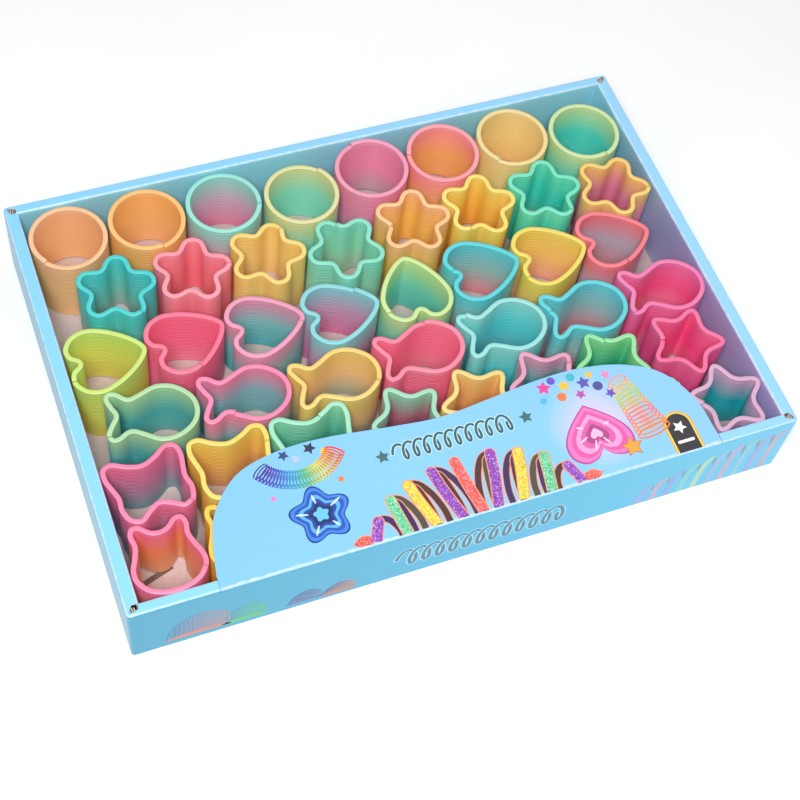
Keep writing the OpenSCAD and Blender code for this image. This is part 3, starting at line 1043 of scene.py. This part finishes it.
def closed_curve(half, about_x, steps=5):
    """A closed smooth outline from half of its points, mirrored about one axis."""
    mirror = np.array((1, -1) if about_x else (-1, 1))
    p = [np.array(q, float) for q in half]
    p = p + [q * mirror for q in p[-2:0:-1]]
    n = len(p)
    made = np.array(
        [
            curve_point(p[i - 1], p[i], p[(i + 1) % n], p[(i + 2) % n], j / steps)
            for i in range(n)
            for j in range(steps)
        ]
    )
    return made if about_x else made[::-1]


def inwards(outline):
    """The unit normals that point into an anticlockwise outline."""
    tangent = np.roll(outline, -1, 0) - np.roll(outline, 1, 0)
    tangent /= np.linalg.norm(tangent, axis=1)[:, None]
    return np.stack([-tangent[:, 1], tangent[:, 0]], 1)


def deepened(rim, middle):
    """The dye just under the top turn, where no light comes through an edge, so without the painted
    light that makes the top turn palest: the rim's own colour made more saturated, with a little of
    the middle's already in it."""
    strong = max(linear(rim)[:3])
    pairs = zip(linear(rim), linear(middle))
    return [RIM_SHARE * a * (a / strong) ** DEEPENING + (1 - RIM_SHARE) * b for a, b in pairs]


def extruded_polypropylene_with_painted_light(name, rim, middle, foot):
    """Extruded plastic, which has a soft gloss and faint flow lines; its dye changes from rim to
    foot. Painted light: the last turn is drawn palest where the light goes through its edge, and
    the lower turns are lifted for the light that reaches them through their neighbours."""
    made, tree, shader = material_of(name, middle, 0.34, IOR=1.49, Specular_IOR_Level=0.45)
    share = node(tree, "ShaderNodeAttribute", attribute_name="share")
    place = node(tree, "ShaderNodeTexCoord")
    drift = node(
        tree, "ShaderNodeTexNoise", {"Vector": (place, "Object"), "Scale": 45.0, "Detail": 2.0}
    )
    spot = node(
        tree,
        "ShaderNodeMath",
        {0: (drift, "Fac"), 1: 0.04, 2: (share, "Fac")},
        operation="MULTIPLY_ADD",
    )
    spot = node(tree, "ShaderNodeMath", {0: (spot, "Value"), 1: 0.02}, operation="SUBTRACT")
    dye = node(tree, "ShaderNodeValToRGB", {"Fac": (spot, "Value")})
    # painted light: light also reaches the lower turns through their neighbours, so their
    #     # colours are lifted by these factors to stand for it
    stops = (
        (0.04, linear(foot), 1.27),
        (0.5, linear(middle), 1.24),
        (0.9, deepened(rim, middle), 1.04),
        (0.985, linear(rim), 1),
    )
    while len(dye.color_ramp.elements) < len(stops):
        dye.color_ramp.elements.new(0.5)
    for element, (at, colour, lift) in zip(dye.color_ramp.elements, stops):
        element.position = at
        element.color = [min(part * lift, 1) for part in colour[:3]] + [1]
    lines = node(
        tree,
        "ShaderNodeTexNoise",
        {"Vector": (place, "Object"), "Scale": 900.0, "Detail": 3.0},
    )
    flow = node(
        tree,
        "ShaderNodeMapRange",
        {"Value": (lines, "Fac"), "To Min": 0.96, "To Max": 1.04},
    )
    flowing = node(
        tree,
        "ShaderNodeVectorMath",
        {0: (dye, "Color"), "Scale": (flow, "Result")},
        operation="SCALE",
    )
    tree.links.new(flowing.outputs["Vector"], shader.inputs["Base Color"])
    gloss = node(
        tree, "ShaderNodeMapRange", {"Value": (lines, "Fac"), "To Min": 0.28, "To Max": 0.42}
    )
    tree.links.new(gloss.outputs["Result"], shader.inputs["Roughness"])
    return made


def wind_coil(name, outline, turn, start, colours):
    """One toy: the strip wound up its outline, in its own dye and painted light, in its CAD place."""
    split = name + "_lower" in frame["nodes"]
    nodes = [name + "_lower", name + "_upper"] if split else [name]
    boxes = [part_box(n) for n in nodes]
    low = Vector(min(b[0][i] for b in boxes) for i in range(3))
    high = Vector(max(b[1][i] for b in boxes) for i in range(3))
    c, s = math.cos(math.radians(turn)), math.sin(math.radians(turn))
    spin = np.array(((c, s), (-s, c)))
    place = np.array(outline) @ spin * MM
    middle = (place.max(0) + place.min(0)) / 2
    centre = np.array(((low.x + high.x) / 2, (low.y + high.y) / 2)) - middle
    n = len(outline)
    rings = TURNS * n + 1
    pitch = (high.z - low.z) / (TURNS + 1)
    tall = pitch * TURN_FILL
    inward = inwards(place)
    r, w, h = STRIP_ROUND, STRIP_WIDE, tall
    section = np.array(
        ((STRIP_BEVEL, 0.02 * h), (w - STRIP_BEVEL, 0.02 * h), (w, r), (w, h - r),
         (w - r, h), (r, h), (0, h - r), (0, r))
    )  # fmt: skip
    k = np.arange(rings)
    index = (k + int(start * n)) % n
    settle = SETTLE * np.sin(k / n * 2.3 + low.x * 900)
    edge = place[index] + inward[index] * (SHAPE_CLEAR + settle)[:, None]
    level = low.z + pitch * k / n
    xy = edge[:, None, :] + inward[index][:, None, :] * section[None, :, :1] + centre
    points = np.empty((rings, 8, 3))
    points[:, :, :2] = xy
    points[:, :, 2] = level[:, None] + section[None, :, 1]
    base = (np.arange(rings - 1) * 8)[:, None]
    j = np.arange(8)[None, :]
    a, b = base + j, base + (j + 1) % 8
    quads = np.stack([a, a + 8, b + 8, b], 2).reshape(-1, 4)
    mesh = bpy.data.meshes.new(name + "_strip")
    ends = [list(range(8)), list(range((rings - 1) * 8 + 7, (rings - 1) * 8 - 1, -1))]
    flat = points.reshape(-1, 3)
    mesh.from_pydata(flat.tolist(), [], quads.tolist() + ends)
    mesh.polygons.foreach_set("use_smooth", np.full(len(mesh.polygons), True))
    made = bpy.data.objects.new(name + "_strip", mesh)
    bpy.context.scene.collection.objects.link(made)
    share = np.repeat((level - low.z + tall / 2) / (high.z - low.z), 8)
    mesh.attributes.new("share", "FLOAT", "POINT").data.foreach_set(
        "value", share.astype(np.float32)
    )
    toy = name.replace("_coil", "")
    mesh.materials.append(extruded_polypropylene_with_painted_light(toy + "_extruded_polypropylene", *colours))
    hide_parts(*nodes)
    if split:
        # the points are laid on the strip's middle line while its transform is baked, then put back
        line = points.copy()
        line[:, :, 2] = level[:, None] + tall / 2
        mesh.vertices.foreach_set("co", line.astype(np.float32).ravel())
        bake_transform(made)
        mesh.vertices.foreach_set("co", flat.astype(np.float32).ravel())
        mesh.update()
    else:
        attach(made, BODY_OF[name])


def row_of(shape, outline, toys):
    """Winds one shape's toys: each is a turn in degrees and its rim, middle and foot colour."""
    for i, (turn, *colours) in enumerate(toys):
        start = (0.62 + 0.17 * i) % 1  # where round the outline the strip begins and ends
        wind_coil(f"{shape}_coil_{i + 1}", outline, turn, start, colours)


# each rim colour is the top turn's, whose paleness is painted light for light through its edge
# Round coils: the plain sort, wound on a round core.
row_of("round", lobes((0, 0), 17.5, 0, steps=64), [
    (0, "#F9C89C", "#F0B47C", "#EBB078"),
    (0, "#FFC782", "#F8B569", "#F0AC74"),
    (0, "#9CE6D8", "#CBA6B8", "#D87C9C"),
    (0, "#E4E0A4", "#86D4BC", "#7CD0B8"),
    (0, "#F4A4BE", "#E48AAA", "#B49CA4"),
    (0, "#FFA8B4", "#FFAA66", "#FFA460"),
    (0, "#F4DEA0", "#F0CC84", "#E8BC74"),
    (0, "#D6E8AC", "#48CCBE", "#48C4B8"),
])  # fmt: skip

# Flower coils: wound on a core with five round lobes.
row_of("flower", lobes((0, 0), 15.65, 2.9, pointed=-0.4, steps=70), [
    (75, "#56D2D2", "#62BFB4", "#92A89C"),
    (72, "#FFA4B2", "#FA7884", "#F06C7C"),
    (62, "#F8D884", "#ECC978", "#E4BC78"),
    (40, "#92E0CA", "#90D0B0", "#A8BCA4"),
    (72, "#FCCB98", "#FCBC58", "#F8B050"),
    (72, "#FAE480", "#FCB848", "#F8A03C"),
    (72, "#82E6C4", "#38C8B8", "#40C0AC"),
    (52, "#F8D47C", "#D4809C", "#C86884"),
])  # fmt: skip

# Heart coils: wound on a heart core with a softly pointed tip.
HEART_HALF = [
    (17.8, 0), (15.5, 4.7), (9.8, 10), (2.4, 14.5), (-5.3, 16.7), (-12.4, 14.5), (-16.5, 8.8),
    (-15.7, 3.5), (-12, 0),
]  # fmt: skip
row_of("heart", closed_curve(HEART_HALF, True), [
    (0, "#CDE684", "#D2D25A", "#CCBC50"),
    (12, "#FA84A0", "#F8668C", "#EC7C94"),
    (0, "#F0A0BC", "#7CBCBC", "#48A8AC"),
    (0, "#8ED8DC", "#C094B0", "#D06C98"),
    (85, "#D0E8A0", "#6CC8B0", "#50B0A4"),
    (0, "#60D4DC", "#94B8B0", "#E08090"),
    (0, "#F0DE70", "#F0C068", "#F0A488"),
    (0, "#F8848E", "#B4A8B8", "#C4848C"),
])  # fmt: skip

# Fish coils: a round body and two tail fins.
FISH_HALF = [
    (20.2, 0), (17.9, 7.3), (10.8, 12.9), (2.6, 13.9), (-5.2, 10.2), (-9.4, 8.7), (-13.7, 11.6),
    (-17.7, 11.9), (-19.5, 8.5), (-17.5, 3.5), (-15.8, 0),
]  # fmt: skip
row_of("fish", closed_curve(FISH_HALF, True, 4), [
    (-10, "#B8DCAC", "#48A8A8", "#58A8A4"),
    (-5, "#FA90B4", "#84B0B8", "#68A8AC"),
    (0, "#F0D480", "#E4BC80", "#A0A890"),
    (0, "#FB90A8", "#F07090", "#DC7C90"),
    (0, "#A0E0DC", "#50C8CC", "#50B0BC"),
    (0, "#68D4DC", "#94B4B4", "#D07C90"),
    (-4, "#F088B8", "#EC5088", "#E87C9C"),
])  # fmt: skip

# Butterfly coils: two large and two small wings.
BUTTERFLY_HALF = [
    (0, 10.9), (5.9, 12.8), (11.5, 16), (16.4, 14.5), (17.6, 9), (16.2, 2.5), (15.5, -1.5),
    (16.2, -6.9), (14.3, -12.8), (9.2, -15.3), (4.4, -12.4), (0, -10.3),
]  # fmt: skip
row_of("butterfly", closed_curve(BUTTERFLY_HALF, False, 4), [
    (6, "#F68CB0", "#B87C9C", "#6C949C"),
    (0, "#F4DC78", "#E4B458", "#D09C64"),
    (0, "#A8E4C4", "#60C0A4", "#50A898"),
])  # fmt: skip

# Star coils: five lobes a little more pointed than the flower's.
row_of("star", lobes((0, 0), 14.6, 3.05, pointed=0.4, steps=70), [
    (36, "#A4DCC0", "#B46C80", "#A05C78"),
    (36, "#F4D88C", "#F4A868", "#E4A458"),
    (36, "#E8A4C0", "#5CB4B4", "#3CA4A0"),
    (36, "#9CE4A8", "#40B88C", "#30A090"),
    (54, "#F47CA8", "#F04888", "#E86890"),
    (16, "#DCB0CC", "#14A2AC", "#2C9CA0"),
])  # fmt: skip

# Cat coils: a round face with two ears.
CAT_HALF = [
    (0, 12), (3.4, 13), (7, 16.2), (10.8, 16.2), (12.6, 12.4), (12, 7.6), (13.2, 3.2),
    (15.4, -2.5), (15.2, -8), (11.4, -13.4), (5.4, -16.2), (0, -16.8),
]  # fmt: skip
row_of("cat", closed_curve(CAT_HALF, False, 4), [
    (0, "#FB8CB0", "#E08858", "#D09870"),
    (0, "#F8D060", "#E8A83C", "#E0A050"),
    (0, "#8CE0C8", "#59BFA8", "#4CA898"),
    (0, "#F48CB0", "#E56E93", "#C86888"),
    (0, "#7CC8E4", "#4AA3C4", "#4890B0"),
    (0, "#E0DC78", "#C9C24A", "#B8AC48"),
    (0, "#F8B080", "#E98A4A", "#D87C48"),
    (0, "#A4E8BC", "#7FD9A8", "#60C098"),
])  # fmt: skip
